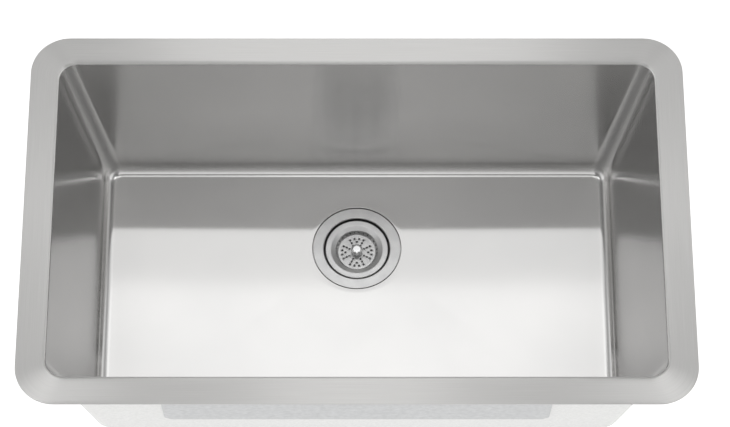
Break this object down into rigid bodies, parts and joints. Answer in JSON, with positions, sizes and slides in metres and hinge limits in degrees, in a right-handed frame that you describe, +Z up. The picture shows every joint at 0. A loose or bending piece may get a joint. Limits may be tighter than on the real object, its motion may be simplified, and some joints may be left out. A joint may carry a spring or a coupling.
{
  "type": "undermount kitchen sink",
  "caption": "Undermount steel kitchen sink with a rectangular bowl, a flat rim, a lift-out basket strainer and the short drain pipe below it.",
  "frame": {"origin": "centre of the bowl's mouth, in the plane of the rim's top", "axes": "+X to the right along the sink's length, +Y to the back, +Z up out of the bowl"},
  "size_m": [0.813, 0.489, 0.4205],
  "materials": {
    "bowl_steel": "brushed",
    "undercoat": "sprayed, matt",
    "sound_pad": "matt",
    "strainer_steel": "polished",
    "putty": "matt",
    "gasket_rubber": "matt",
    "fibre": "matt",
    "zinc": "die cast",
    "brass": "machined",
    "basket_steel": "polished",
    "knob_chrome": "polished",
    "post_steel": "turned",
    "stopper_rubber": "matt",
    "clip_steel": "spring temper",
    "washer_plastic": "smooth",
    "tailpiece_chrome": "polished",
    "nut_chrome": "polished"
  },
  "bodies": {
    "sink": {"bowl": "bowl_steel", "undercoat": "undercoat", "sound_pad_left": "sound_pad", "sound_pad_right": "sound_pad", "sound_pad_front": "sound_pad", "sound_pad_back": "sound_pad", "sound_pad_floor_left": "sound_pad", "sound_pad_floor_right": "sound_pad", "strainer_body": "strainer_steel", "putty_ring": "putty", "under_gasket": "gasket_rubber", "friction_ring": "fibre", "lock_nut": "zinc", "outlet_cross": "brass", "tail_washer": "washer_plastic", "tailpiece": "tailpiece_chrome", "coupling_nut": "nut_chrome"},
    "clip": {"spring_clip": "clip_steel"},
    "basket": {"basket_shell": "basket_steel", "basket_knob": "knob_chrome", "basket_post": "post_steel", "spacer_sleeve": "post_steel", "stopper_plate": "post_steel", "rubber_stopper": "stopper_rubber", "post_nut": "brass"}
  },
  "joints": [
    {"name": "basket_lift", "type": "slide", "parent": "sink", "child": "clip", "axis": [0, 0, 1], "range_m": [0, 0.33]},
    {"name": "basket_turn", "type": "hinge", "parent": "clip", "child": "basket", "pos_m": [0, 0.069, -0.2545], "axis": [0, 0, 1], "continuous": true}
  ]
}
